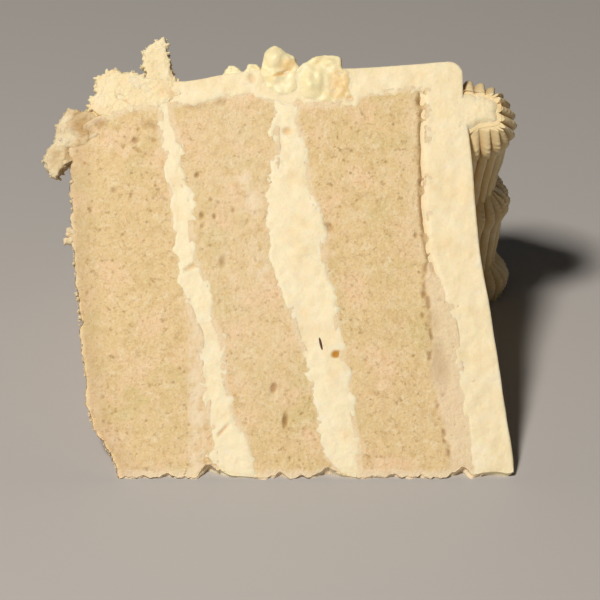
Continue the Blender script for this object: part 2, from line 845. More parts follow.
            # The browned underside shows only behind the cut edge; in front the crumb greys towards a pale torn rim.
            from_under = height - low
            dull = 0.34 * np.clip(1.15 - from_under / 4.5, 0, 1) * np.clip(from_under / 1.0, 0, 1)
            bare = 0.7 * np.clip(1 - from_under / 1.2, 0, 1) * np.exp(-(((radius - 60) / 5) ** 2))
            behind = np.clip((WEDGE - place.angle) * radius / 2.0, 0, 1) * (from_under < 0.3)
            skin = np.where(on_face, np.maximum(dull, bare), behind)
        set_value(mesh, "skin", skin)
        return finished(mesh, material, Slot.SPONGE, self.node)


@dataclass
class CreamFilling:
    """One spread of buttercream between two sponges, flush with them and dragged a little by the knife."""

    name: str
    node: str
    under: Curve
    over: Curve
    seed: int
    dimples: tuple[Dimple, ...] = ()
    cell: float = 0.26
    overlap: float = 1.6
    into_icing: float = 2.6
    sweep: Sweep = Sweep(broad_steps=22)

    def section(self, along: np.ndarray, across: np.ndarray) -> tuple[np.ndarray, np.ndarray]:
        """The filling's section, which overlaps the sponges a little and runs on into the side icing."""
        radius = TIP_RADIUS + along * (75.0 - TIP_RADIUS)
        for _ in range(4):
            low, high = self.under.at(radius) - self.overlap, self.over.at(radius) + self.overlap
            height = low + (high - low) * across
            radius = TIP_RADIUS - 0.1 + along * (RIM.at(height) + self.into_icing - TIP_RADIUS)
        return height, radius

    def build(self, material: bpy.types.Material) -> bpy.types.Object:
        """Builds the filling.

        Args:
            material: Its finish.

        Returns:
            The piece.
        """
        cells = (int(76 / self.cell), int(8.5 / self.cell))
        mesh = swept_slab(self.name, cells, self.section, self.sweep)
        points = mesh_points(mesh)
        place = Section.of(points)
        on_face = place.angle > WEDGE - 1e-5
        height, radius = place.height.copy(), place.radius.copy()
        rough = waves(points, 2.4, self.seed)
        from_tip = radius - TIP_RADIUS
        place.radius -= 0.35 * rough * np.exp(-from_tip / 1.3)
        place.radius += point_wear(height, radius)
        place.wander()
        low, high = self.under.at(radius), self.over.at(radius)
        beyond = np.maximum(height - high, low - height)
        lift = cream_relief(points) + 0.05 - feathered(beyond + cream_edge(points, self.seed))
        lift -= 0.6 * np.maximum(radius - RIM.at(height) - 0.5 + waves(points, 2.0, self.seed + 4), 0)
        lift -= 0.25 * np.exp(-from_tip / 0.8)
        lift, pit = pressed(self.dimples, height, radius, lift)
        set_face(mesh, place.points(), lift, on_face, pit)
        return finished(mesh, material, Slot.FILLING, self.node)


def cream_relief(points: np.ndarray) -> np.ndarray:
    """The cut buttercream's low relief, the same field for the fillings and the icing so that they join unseen."""
    return 0.18 * waves(points, 5.0, 31) + 0.14 * waves(points, 1.9, 32) + 0.06 * waves(points, 0.7, 33)


def feathered(beyond: np.ndarray) -> np.ndarray:
    """How far the buttercream has thinned away at each distance beyond its edge: gently first, then fast."""
    return 0.3 * np.maximum(beyond, 0) + 0.9 * np.maximum(beyond - 0.7, 0)


def cream_edge(points: np.ndarray, seed: float) -> np.ndarray:
    """How far in or out the buttercream's edge strays from its seam, as it was dragged over the sponge."""
    broad = 1.2 * waves(points, 4.2, seed + 1)
    return broad + 0.6 * waves(points, 1.6, seed + 2) + 0.25 * waves(points, 0.7, seed + 3)


@dataclass
class IcingCoat:
    """The smooth buttercream coat: a slab over the top sponge that turns down the side to a torn foot."""

    seed: int = 40
    corner: float = 2.8
    cells: tuple[int, int] = (520, 28)
    overlap: float = 1.7
    foot_inside: float = -41.6
    foot_outside: float = -39.6
    torn_from: float = -22.5
    sweep: Sweep = Sweep(broad_steps=62)
    dimples: tuple[Dimple, ...] = ()

    def outer_path(self) -> tuple[np.ndarray, np.ndarray]:
        """The coat's outer line from the point, round the corner and down the side, in two halves met at the corner.

        Returns:
            The two halves, each a row of (height, radius) points.
        """
        edge = float(SIDE.at(np.array(29.0)))
        corner_height = float(ICING_TOP.at(np.array(edge))) - self.corner
        radii = np.linspace(TIP_RADIUS, edge - self.corner, 160)

        def arc(first: float, last: float) -> np.ndarray:
            """Half of the rounded corner, as (height, radius) rows."""
            turn = np.radians(np.linspace(first, last, 9))
            reach = edge - self.corner
            return np.stack([corner_height + self.corner * np.cos(turn), reach + self.corner * np.sin(turn)], 1)

        slab = np.concatenate([np.stack([ICING_TOP.at(radii), radii], 1), arc(0, 45)[1:]])
        heights = np.linspace(corner_height, self.foot_outside, 160)[1:]
        side = np.concatenate([arc(45, 90), np.stack([heights, SIDE.at(heights)], 1)])
        return slab, side

    def inner_path(self) -> tuple[np.ndarray, np.ndarray]:
        """The coat's inner line along the top sponge and down the rims, in two halves met at the sponge's corner."""
        radii = np.linspace(TIP_RADIUS, float(RIM.at(np.array(23.0))) - self.overlap, 160)
        slab = np.stack([ICING_UNDER.at(radii) - self.overlap, radii], 1)
        heights = np.linspace(slab[-1, 0], self.foot_inside, 160)
        return slab, np.stack([heights, RIM.at(heights) - self.overlap], 1)

    def section(self, along: np.ndarray, across: np.ndarray) -> tuple[np.ndarray, np.ndarray]:
        """The coat's section: along runs from the point to the foot, and across from the sponge outwards."""
        share = 0.52
        sides = []
        for slab, side in (self.inner_path(), self.outer_path()):
            pair = []
            for column in (0, 1):
                values = []
                for half in (slab, side):
                    steps = np.hypot(*np.diff(half, axis=0).T)
                    run = np.concatenate([[0], np.cumsum(steps)])
                    values.append((run / run[-1], half[:, column]))
                first = np.interp(along / share, *values[0])
                second = np.interp((along - share) / (1 - share), *values[1])
                pair.append(np.where(along <= share, first, second))
            sides.append(pair)
        (h_in, r_in), (h_out, r_out) = sides
        return h_in + (h_out - h_in) * across, r_in + (r_out - r_in) * across

    def build(self, material: bpy.types.Material) -> bpy.types.Object:
        """Builds the coat.

        Args:
            material: Its finish.

        Returns:
            The piece.
        """
        mesh = swept_slab("icing_coat", self.cells, self.section, self.sweep)
        points = mesh_points(mesh)
        place = Section.of(points)
        on_face = place.angle > WEDGE - 1e-5
        height, radius = place.height.copy(), place.radius.copy()
        place.radius += point_wear(height, radius)
        place.wander()
        normals = mesh_normals(mesh)
        moved = place.points()
        # The palette knife leaves long low bands round the side and over the top.
        rows = place.as_rows()
        bands = 0.16 * waves(rows / (1, 1, 9), 4.0, self.seed) + 0.3 * waves(rows, 17.0, self.seed + 1)
        outer = ~on_face & ((radius > 78.5) | (height > ICING_TOP.at(radius) - 0.6))
        fade = np.clip((WEDGE - place.angle) / math.radians(1.5), 0, 1)
        moved += normals * (bands * outer * fade)[:, None]
        torn = np.clip((self.torn_from - height) / 3.0, 0, 1) * (radius > 60)
        lift = cream_relief(points) + 0.04
        lift += torn * (0.15 * waves(points, 0.9, self.seed + 2) + 0.25 * waves(points, 2.6, self.seed + 3) - 0.2)
        # The very foot stays behind the torn icing that hangs in front of it.
        lift -= 1.6 * np.clip((-36.5 - height) / 2.0, 0, 1) * (radius > 60)
        over_top, over_rim = ICING_UNDER.at(radius) - height, RIM.at(height) - radius
        over_sponge = np.minimum(over_top, over_rim)
        uneven = cream_edge(points, self.seed + 3) * np.where(over_rim < over_top, 1.1, 0.3)
        lift -= feathered(over_sponge + uneven)
        lift -= 0.25 * np.exp(-(radius - TIP_RADIUS) / 0.8)
        lift, pit = pressed(self.dimples, height, radius, lift)
        set_face(mesh, moved, lift, on_face, pit)
        return finished(mesh, material, Slot.ICING, "icing")


# ---------------------------------------------------------------- squeezed and torn icing


@dataclass(frozen=True)
class Blob:
    """A soft lump: its place on the upper cut face, its half sizes along the height, the radius and the lift, and
    its turn in degrees about the face's normal."""

    height: float
    radius: float
    lift: float
    sizes: tuple[float, float, float]
    turn: float = 0.0

    def matrix(self) -> Matrix:
        """The transform that takes a unit ball to this lump."""
        face = Matrix((Vector((1, 0, 0)), Vector(CUT_OUTWARD), Vector(CUT_NORMAL))).transposed().to_4x4()
        turn = Matrix.Rotation(math.radians(self.turn), 4, "Z")
        return Matrix.Translation(on_cut(self.height, self.radius, self.lift)) @ face @ turn @ Matrix.Diagonal(
            (*self.sizes, 1)
        )


def edge_distance(outline: Sequence[tuple[float, float]], height: np.ndarray, radius: np.ndarray) -> np.ndarray:
    """How far inside an outline each place lies, below 0 outside it."""
    inside, nearest = np.zeros(np.shape(height), dtype=bool), np.full(np.shape(height), 1e9)
    for (h0, r0), (h1, r1) in zip(outline, (*outline[1:], outline[0]), strict=True):
        dh, dr = h1 - h0, r1 - r0
        if dr:
            inside ^= ((r0 > radius) != (r1 > radius)) & (height < dh * (radius - r0) / dr + h0)
        t = np.clip(((height - h0) * dh + (radius - r0) * dr) / (dh**2 + dr**2), 0, 1)
        nearest = np.minimum(nearest, np.hypot(height - h0 - t * dh, radius - r0 - t * dr))
    return np.where(inside, nearest, -nearest)


NO_FRINGE = math.inf


@dataclass
class IcingMass:
    """A mass of icing that the knife squeezed or tore out: a flat-fronted slab and soft lumps, melted together."""

    name: str
    seed: int
    outline: tuple[tuple[float, float], ...]
    blobs: tuple[Blob, ...] = ()
    front: float = 0.0
    thickness: float = 4.0
    bumps: int = 0
    bump_size: tuple[float, float] = (0.6, 1.4)
    bump_top: tuple[float, float] = (0.0, 0.4)
    fringe: tuple[float, float] = (0.22, 0.5)
    fringe_gap: float = 0.3
    voxel: float = 0.22
    smoothing: int = 1
    crumb: float = 0.0
    crumb_size: float = 0.8
    wave: float = 0.15
    relief: float = 0.0
    melt: float = 0.0
    dimples: tuple[Dimple, ...] = ()

    def add_slab(self, bm: bmesh.types.BMesh) -> None:
        """Adds the outline, filled in and thickened away from the cut face."""
        face = bm.faces.new([bm.verts.new(on_cut(*place, self.front)) for place in self.outline])
        grown = bmesh.ops.extrude_face_region(bm, geom=[face])["geom"]
        back = [item for item in grown if isinstance(item, bmesh.types.BMVert)]
        bmesh.ops.translate(bm, verts=back, vec=Vector(CUT_NORMAL) * -self.thickness)

    def edge_blobs(self, rng: random.Random) -> list[Blob]:
        """The torn fringe: small crumbs all along the outline, at every depth."""
        blobs = []
        for start, end in zip(self.outline, (*self.outline[1:], self.outline[0]), strict=True):
            run = math.hypot(end[0] - start[0], end[1] - start[1])
            across = math.degrees(math.atan2(end[1] - start[1], end[0] - start[0]))
            for _ in range(int(run * self.thickness / self.fringe_gap**2 / 4)):
                share, size = rng.random(), rng.uniform(*self.fringe)
                place = [a + (b - a) * share + rng.uniform(-0.25, 0.25) for a, b in zip(start, end, strict=True)]
                lift = self.front - rng.uniform(0.7 * size, self.thickness)
                sizes = (size * 0.6, size * rng.uniform(1.0, 2.0), size * rng.uniform(0.6, 1.0))
                blobs.append(Blob(*place, lift, sizes, across + rng.uniform(-35, 35)))
        return blobs

    def front_blobs(self, rng: random.Random) -> list[Blob]:
        """The soft bumps scattered over the front."""
        blobs = []
        while len(blobs) < self.bumps:
            xs, ys = zip(*self.outline, strict=True)
            point = (rng.uniform(min(xs), max(xs)), rng.uniform(min(ys), max(ys)))
            size = min(rng.uniform(*self.bump_size), float(edge_distance(self.outline, *point)) + 0.2)
            if size < 0.3:
                continue
            lift = self.front + rng.uniform(*self.bump_top) - size
            blobs.append(Blob(*point, lift, (size, size * rng.uniform(0.7, 1.4), size), rng.uniform(0, 180)))
        return blobs

    def build(self, material: bpy.types.Material) -> bpy.types.Object:
        """Builds the mass.

        Args:
            material: Its finish.

        Returns:
            The piece.
        """
        rng = random.Random(self.seed)
        bm = bmesh.new()
        self.add_slab(bm)
        for blob in (*self.blobs, *self.edge_blobs(rng), *self.front_blobs(rng)):
            fineness = 1 if max(blob.sizes) < 0.6 else 2 if max(blob.sizes) < 2 else 3
            bmesh.ops.create_icosphere(bm, subdivisions=fineness, radius=1, matrix=blob.matrix())
        mesh = knit(bm, self.name, self.voxel)
        smoothed(mesh, self.smoothing)
        points = mesh_points(mesh)
        rise = self.wave * waves(points, 1.8, self.seed)
        if self.crumb:
            rise += self.crumb * (waves(points, self.crumb_size, self.seed + 1) + 0.2)
            rise += 0.8 * self.crumb * waves(points, self.crumb_size / 2, self.seed + 2)
        place = Section.of(points)
        rise, pit = pressed(self.dimples, place.height, place.radius, rise)
        facing = np.clip(1 + (points @ CUT_NORMAL - self.front) / 0.6, 0, 1)
        push = self.relief * cream_relief(points) * facing
        if self.melt:
            # Over the coat the mass thins away at its edge, so that it joins the coat without a step.
            over_coat = np.clip((SIDE.at(place.height) - 0.4 - place.radius) / 1.4, 0, 1)
            rim = edge_distance(self.outline, place.height, place.radius)
            push -= self.melt * facing * over_coat * np.exp(-np.maximum(rim, 0) / 0.9)
        moved = points + mesh_normals(mesh) * rise[:, None]
        set_points(mesh, moved + CUT_NORMAL * push[:, None])
        set_value(mesh, "pit", pit)
        return finished(mesh, material, Slot.ICING, "icing")


# ---------------------------------------------------------------- the piped border


@dataclass
class PipedShell:
    """One piped shell: a fluted head that swells out of a small squarish start, then tapers to a tail."""

    name: str
    head: float
    tail: float
    seed: int
    node: str
    start_size: tuple[float, float] = (3.2, 6.5)
    half_width: float = 8.6
    height: float = 10.9
    flute: float = 0.17
    head_length: float = 5.2
    waist: float = 0.9
    tail_scale: float = 0.8
    around: int = 360
    step: float = 0.3

    def profile(self, turn: np.ndarray, along: np.ndarray) -> tuple[np.ndarray, np.ndarray]:
        """The shell's surface, without its flutes.

        Args:
            turn: The turn round the section, from 0 on the outer side to pi on the inner side.
            along: The length back from the shell's start.

        Returns:
            How far each place is across the shell, and how far it rises from the icing.
        """
        rising = np.clip(along / self.head_length, 0, 1)
        swell = np.sin(rising * math.pi / 2)
        length = math.radians(self.head - self.tail) * SHELL_RING
        back = np.clip((along - self.head_length) / 5.0, 0, 1)
        t = np.clip((along - self.head_length) / (length - self.head_length), 0, 1)
        full = (1 - (1 - self.waist) * back * back * (3 - 2 * back)) * (1 - (1 - self.tail_scale) * t**1.5)
        cos, sin = np.cos(turn), np.sin(turn)
        # At the start the round section is squared off by the nozzle's first push, so ridges leave it side by side.
        ends = []
        for whole, squared in ((self.half_width * cos, self.start_size[0]), (self.height * sin, self.start_size[1])):
            start = whole / (1 + np.abs(whole / squared) ** 5) ** 0.2
            ends.append(start + (whole * full - start) * swell)
        return ends[0], ends[1]

    def build(self, material: bpy.types.Material) -> bpy.types.Object:
        """Builds the shell.

        Args:
            material: Its finish.

        Returns:
            The piece.
        """
        start = math.radians(self.head)
        end = max(math.radians(self.tail) - 0.02, 0.0)
        steps = max(int((start - end) * SHELL_RING / self.step), 8)
        bm = bmesh.new()
        bmesh.ops.create_circle(bm, cap_ends=True, segments=self.around, radius=1.0)
        for vert in bm.verts:
            vert.co = (vert.co.y, SHELL_RING + vert.co.x, 0)
        bmesh.ops.rotate(bm, verts=bm.verts, cent=(0, 0, 0), matrix=Matrix.Rotation(start, 3, "X"))
        bmesh.ops.spin(
            bm, geom=[*bm.faces, *bm.edges, *bm.verts], cent=(0, 0, 0), axis=(1, 0, 0), dvec=(0, 0, 0),
            angle=end - start, steps=steps, use_duplicate=False,
        )  # fmt: skip
        mesh = to_mesh(bm, self.name)
        place = Section.of(mesh_points(mesh))
        turn = np.arctan2(place.height, place.radius - SHELL_RING)
        # Rings crowd together where the head swells, so that its front is as fine as its back.
        share = (start - place.angle) / (start - end)
        length = (start - end) * SHELL_RING
        along = length * (0.25 * share**3 + 0.75 * share) * np.clip(share * 12, 0, 1) ** 0.7
        place.angle = start - along / SHELL_RING
        across, rise = self.profile(np.abs(turn), along)
        rows = np.stack([np.cos(turn) * 6, np.sin(turn) * 6, along], axis=1)
        drift = 0.04 * waves(rows, 9.0, self.seed)
        valley = 1 - np.abs(np.sin(RIDGES * (turn + drift))) ** VALLEY_SHARPNESS
        ripple = 0.012 * np.sin(along * 7.5 + 3 * waves(rows, 3.0, self.seed + 1)) * (1 - valley)
        swell = 1 - self.flute * valley + ripple * np.clip(along, 0, 1)
        swell += 0.02 * waves(rows, 5.0, self.seed + 2)
        over = turn > 0
        place.radius = SHELL_RING + CREST_OFFSET + across * np.where(over, swell, 0.9)
        place.height = ICING_TOP.at(place.radius) + np.where(over, rise * swell, 1.4 * np.sin(turn))
        place.wander()
        set_points(mesh, place.points())
        bm = bmesh.new()
        bm.from_mesh(mesh)
        bmesh.ops.recalc_face_normals(bm, faces=bm.faces)
        bm.to_mesh(mesh)
        bm.free()
        mesh.set_sharp_from_angle(angle=math.radians(50))
        set_value(mesh, "pit", 0.9 * valley**1.5 * np.clip(along / 1.5, 0.1, 1))
        return finished(mesh, material, Slot.PIPED, self.node)


@dataclass
class ShellStub:
    """The end of the piped border where the knife went through it, flat and flush with the coat's cut face."""

    inner: float = 29.6
    outer: float = 39.4
    lower: Curve = Curve((30, 33, 34.7, 39.6), (68.4, 68.9, 69.9, 70.4))
    upper: Curve = Curve((30, 31.9, 35.2, 40.0), (78.2, 77.9, 77.3, 76.1))
    corner: float = 1.8
    sweep: Sweep = Sweep(fine_angle=1.2, fine_steps=4, broad_steps=2)
    depth: float = 2.2
    rim_width: float = 2.2
    rim_drop: float = 1.3
    # How far out and how far over its corners are, where its ridges turn from side by side to fanned.
    fan: tuple[float, float] = (6.5, 3.2)

    def section(self, along: np.ndarray, across: np.ndarray) -> tuple[np.ndarray, np.ndarray]:
        """The stub's section: along runs out from inside the coat, and across from its lower edge to its upper."""
        height = self.inner + (self.outer - self.inner) * along
        low, high = self.lower.at(height), self.upper.at(height)
        radius = low + (high - low) * across
        from_edge = np.minimum(across, 1 - across) * (high - low)
        into = np.clip(1 - from_edge / self.corner, 0, 1)
        rounded = self.corner * (1 - np.sqrt(1 - into**2))
        return height - rounded * np.clip((along - 0.6) / 0.4, 0, 1), radius

    def build(self, material: bpy.types.Material) -> bpy.types.Object:
        """Builds the stub.

        Args:
            material: Its finish.

        Returns:
            The piece.
        """
        mesh = swept_slab("shell_stub", (56, 52), self.section, self.sweep)
        points = mesh_points(mesh)
        place = Section.of(points)
        on_face = place.angle > WEDGE - 1e-5
        below = (WEDGE - place.angle) * SHELL_RING
        place.angle = WEDGE - np.minimum(below, self.depth * (0.3 + 0.7 * below / (WEDGE * SHELL_RING))) / SHELL_RING
        moved = place.points()
        rim = np.minimum(self.outer - place.height, np.minimum(
            place.radius - self.lower.at(place.height), self.upper.at(place.height) - place.radius))  # fmt: skip
        inside = 0.05 * np.maximum(ICING_TOP.at(place.radius) - 0.4 - place.height, 0) ** 2
        # The nozzle's ridges start at the rim: side by side along the stub's sides, and fanning out at its corners.
        out = place.height - ICING_TOP.at(place.radius)
        over = np.abs(place.radius - SHELL_RING - CREST_OFFSET)
        beside = np.arcsin(np.clip(out / CUT_SHELL_HEIGHT, 0, 1))
        atop = np.arccos(np.clip(over / CUT_SHELL_HALF_WIDTH, 0, 1))
        share = np.clip(0.5 + (out / self.fan[0] - over / self.fan[1]) / 0.3, 0, 1)
        near_rim = np.clip(1 - rim / self.rim_width, 0, 1)
        valley = 1 - np.abs(np.sin(RIDGES * (beside + (atop - beside) * share))) ** VALLEY_SHARPNESS
        valley = valley * near_rim * np.clip(out / 0.8, 0, 1)
        lift = cream_relief(points) + 0.07 - self.rim_drop * near_rim**2 - inside - 0.6 * valley
        moved[on_face] += CUT_NORMAL * lift[on_face, None]
        set_points(mesh, moved)
        set_value(mesh, "pit", 0.12 * valley)
        return finished(mesh, material, Slot.PIPED)


# ---------------------------------------------------------------- loose crumbs


@dataclass
class EdgeCrumbs:
    """Crumbs of sponge that cling to the ragged point and to the underside's edge."""

    seed: int = 90
    at_tip: int = 240
    at_underside: int = 200
    # The clump of larger crumbs that sticks out: height, radius, lift and size.
    clump: tuple[tuple[float, float, float, float], ...] = (
        (-43.9, 48.9, -0.8, 1.1), (-44.6, 49.4, -0.7, 0.9), (-44.9, 48.5, -0.8, 0.7), (-44.3, 47.4, -0.8, 1.0),
        (-45.2, 47.3, -0.9, 0.8), (-45.5, 46.9, -0.9, 0.5), (-43.8, 46.3, -0.8, 0.6),
    )  # fmt: skip

    def build(self, material: bpy.types.Material) -> bpy.types.Object:
        """Builds the crumbs as one piece.

        Args:
            material: Their finish.

        Returns:
            The piece.
        """
        rng = random.Random(self.seed)
        bm = bmesh.new()
        spots = []
        for _ in range(self.at_tip):
            height = rng.choice((rng.uniform(-34, -16), rng.uniform(-9, 7), rng.uniform(12, 30)))
            wear = float(point_wear(np.array(height), np.array(TIP_RADIUS)))
            spots.append((height, wear + rng.uniform(1.0, 2.0), rng.uniform(-1.6, -0.25)))
        for _ in range(self.at_underside):
            radius = rng.uniform(2, 60)
            height = float(UNDERSIDE.at(np.array(radius))) - rng.uniform(-0.3, 0.1)
            spots.append((height, radius, rng.uniform(-3, -0.4)))
        small = [(*spot, 0.14 + 0.3 * rng.random() ** 2) for spot in spots]
        for height, radius, lift, size in (*small, *self.clump):
            blob = Blob(height, radius, lift, (size, size * rng.uniform(0.6, 1), size * rng.uniform(0.6, 1)),
                        rng.uniform(0, 180))  # fmt: skip
            bmesh.ops.create_icosphere(bm, subdivisions=1, radius=1, matrix=blob.matrix())
        mesh = to_mesh(bm, "edge_crumbs")
        points = mesh_points(mesh)
        set_points(mesh, points + 0.3 * np.stack([waves(points, 0.6, k) for k in (91, 92, 93)], axis=1))
        for name, value in (("pit", 0.0), ("smear", 0.6), ("skin", 0.0)):
            set_value(mesh, name, np.full(len(points), value))
        return finished(mesh, material, Slot.SPONGE)


@dataclass
class BrownedSliver:
    """A thin dark sliver of browned crust, pressed into the upper cream by the knife."""

    place: Blob = Blob(4.0, 26.6, 0.1, (0.24, 1.3, 0.16), 13)

    def build(self, material: bpy.types.Material) -> bpy.types.Object:
        """Builds the sliver.

        Args:
            material: Its finish.

        Returns:
            The piece.
        """
        bm = bmesh.new()
        bmesh.ops.create_icosphere(bm, subdivisions=3, radius=1, matrix=self.place.matrix())
        return finished(to_mesh(bm, "browned_sliver"), material, Slot.SPONGE)


# ---------------------------------------------------------------- the studio


@dataclass
class Studio:
    """A plain pale floor, a soft key light from the left, and the camera."""

    floor_size: float = 3.0
    lens: float = 200.0
    distance: float = 0.642
    tilt: float = 30.0
    aim: tuple[float, float, float] = (0.0, 24.4, 25.47)
    # Each light's name, power in watts, width and place in metres, and colour.
    lights: tuple[tuple[str, float, float, tuple[float, float, float], str], ...] = (
        ("key", 8.2, 0.14, (-0.27, -0.45, 0.80), "#FFF8EE"),
        ("fill", 0.06, 0.8, (0.6, -1.0, 0.6), "#F7F8FF"),
    )
    sky: float = 0.03

    def build_floor(self) -> None:
        """Lays the floor."""
        bm = bmesh.new()
        bmesh.ops.create_grid(bm, x_segments=1, y_segments=1, size=self.floor_size)
        floor = bpy.data.objects.new("floor", to_mesh(bm, "floor"))
        material = bpy.data.materials.new("pale_matt_board")
        material.use_nodes = True
        shader = material.node_tree.nodes["Principled BSDF"]
        shader.inputs["Base Color"].default_value = linear("#BDBAB8")
        shader.inputs["Roughness"].default_value = 0.7
        floor.data.materials.append(material)
        bpy.context.scene.collection.objects.link(floor)

    def add_light(self, name: str, power: float, size: float, place: tuple[float, float, float], warmth: str) -> None:
        """Hangs a square soft light that faces the slice.

        Args:
            name: The light's name.
            power: Its power in watts.
            size: Its width in metres.
            place: Where it hangs, in metres.
            warmth: Its colour.
        """
        light = bpy.data.lights.new(name, "AREA")
        light.energy, light.size, light.color = power, size, linear(warmth)[:3]
        lamp = bpy.data.objects.new(name, light)
        lamp.location = place
        lamp.rotation_euler = (Vector((0, 0, 0.03)) - Vector(place)).to_track_quat("-Z", "Y").to_euler()
        bpy.context.scene.collection.objects.link(lamp)

    def build(self) -> None:
        """Builds the floor, the lights and the camera."""
        self.build_floor()
        for light in self.lights:
            self.add_light(*light)
        world = bpy.data.worlds.new("studio")
        world.use_nodes = True
        world.node_tree.nodes["Background"].inputs["Color"].default_value = (1, 1, 1, 1)
        world.node_tree.nodes["Background"].inputs["Strength"].default_value = self.sky
        scene = bpy.context.scene
        scene.world = world
        scene.view_settings.view_transform = "Standard"
        tilt = math.radians(self.tilt)
        look = Vector((0, math.cos(tilt), -math.sin(tilt)))
        aim = (Vector(self.aim) + Vector((MIDDLE_X, AXIS_Y, 0))) * MM
        data = bpy.data.cameras.new("camera")
        data.lens, data.sensor_width = self.lens, 36
        camera = bpy.data.objects.new("camera", data)
        camera.location = aim - look * self.distance
        camera.rotation_euler = look.to_track_quat("-Z", "Y").to_euler()
        scene.collection.objects.link(camera)
        scene.camera = camera


# ---------------------------------------------------------------- the slice


BOTTOM_DIMPLES = (
    Dimple(-32.0, 67.4, 1.1, 0.9, 20, 0.5, 0.6),
    Dimple(-36.0, 57.2, 1.0, 0.7, 0, 0.4, 0.4),
    Dimple(-39.1, 71.0, 2.2, 1.6, 0, 0.1, 0.4),
    Dimple(-42.0, 69.2, 2.4, 2.2, 0, 0.1, 0.4),
    Dimple(-29.3, 70.6, 2.6, 1.3, -10, 0.1, 0.35),
    Dimple(-21.5, 54.0, 1.0, 0.8, 30, 0.3, 0.6),
)
BOTTOM_SMEARS = (Dimple(-19.8, 15.0, 1.9, 25.0, 1, 0.0, 1.0, 0.5), Dimple(-22.5, 46.0, 1.0, 6.0, 0, 0.0, 0.5))
MIDDLE_DIMPLES = (
    Dimple(-20.0, 60.4, 0.9, 0.6, 70, 0.5, 0.7),
    Dimple(-19.0, 52.2, 0.6, 1.0, 0, 0.5, 0.6),
    Dimple(-16.6, 52.0, 0.5, 0.9, 10, 0.4, 0.8),
    Dimple(-17.3, 55.4, 0.5, 0.6, 0, 0.4, 0.6),
    Dimple(-15.0, 43.0, 1.0, 1.8, -10, 0.2, 0.45),
    Dimple(-20.5, 74.6, 3.0, 1.6, 0, 0.1, 0.3),
    Dimple(-15.5, 75.4, 1.6, 1.3, 0, 0.1, 0.3),
    Dimple(-5.0, 18.0, 0.8, 1.4, -15, 0.6, 0.7),
    Dimple(-2.8, 11.6, 0.7, 2.2, -5, 0.6, 0.8),
)
MIDDLE_SMEARS = (
    Dimple(-10.8, 59.2, 2.0, 2.8, 0, 0.05, 1.0, 0.6),
    Dimple(-9.0, 54.9, 2.2, 3.8, 10, 0.05, 1.0, 0.6),
    Dimple(-7.9, 43.3, 2.2, 5.4, 10, 0.05, 1.0, 0.6),
    Dimple(-13.0, 40.3, 2.2, 7.0, 12, 0.0, 0.6, 0.6),
    Dimple(-12.0, 68.0, 4.0, 4.0, 0, 0.0, 0.5, 0.8),
    Dimple(-10.0, 48.0, 12.0, 38.0, 7, 0.0, 0.3, 0.4),
    Dimple(-10.0, 58.8, 0.9, 0.9, 0, 0.1, 1.0),
)
TOP_DIMPLES = (
    Dimple(5.6, 49.8, 1.1, 1.4, 0, 0.6, 0.5),
    Dimple(23.4, 75.4, 1.0, 1.4, 0, 0.7, 0.85),
    Dimple(22.4, 48.3, 0.5, 0.9, 0, 0.4, 0.6),
    Dimple(26.2, 42.0, 1.4, 2.8, 20, 0.5, 0.4),
    Dimple(23.9, 36.6, 0.7, 1.2, 0, 0.4, 0.75),
    Dimple(23.6, 32.3, 0.5, 0.9, 0, 0.4, 0.65),
    Dimple(28.6, 37.0, 0.9, 0.7, 30, 0.5, 0.7),
    Dimple(25.4, 31.0, 2.2, 3.6, 0, 0.05, 0.2),
    Dimple(26.6, 22.6, 2.4, 7.0, 5, 0.05, 0.3),
)
COAT_DIMPLES = (
    Dimple(9.8, 76.0, 0.8, 0.8, 0, 0.5, 0.6),
    Dimple(-0.1, 74.8, 0.8, 1.2, 20, 0.5, 0.5),
    Dimple(-9.4, 80.0, 0.9, 1.4, 10, 0.4, 0.3),
    Dimple(32.0, 9.5, 0.45, 4.4, 3, 0.35, 0.45),
    Dimple(30.3, 34.1, 0.2, 0.2, 0, 0.1, 0.9),
    Dimple(33.3, 19.3, 0.25, 0.25, 0, 0.1, 0.9),
    Dimple(31.2, 70.4, 0.2, 0.2, 0, 0.1, 0.8),
)
TORN_DIMPLES = (
    Dimple(-35.0, 76.2, 1.3, 0.7, -20, 0.4, 0.3),
    Dimple(-34.4, 75.8, 2.4, 0.35, -38, 0.35, 0.35),
    Dimple(-31.5, 73.4, 1.4, 1.0, 0, 0.3, 0.35),
    Dimple(-29.9, 77.8, 1.1, 0.4, 0, 0.35, 0.5),
    Dimple(-24.9, 76.9, 1.1, 1.9, 0, 0.15, 0.25),
)


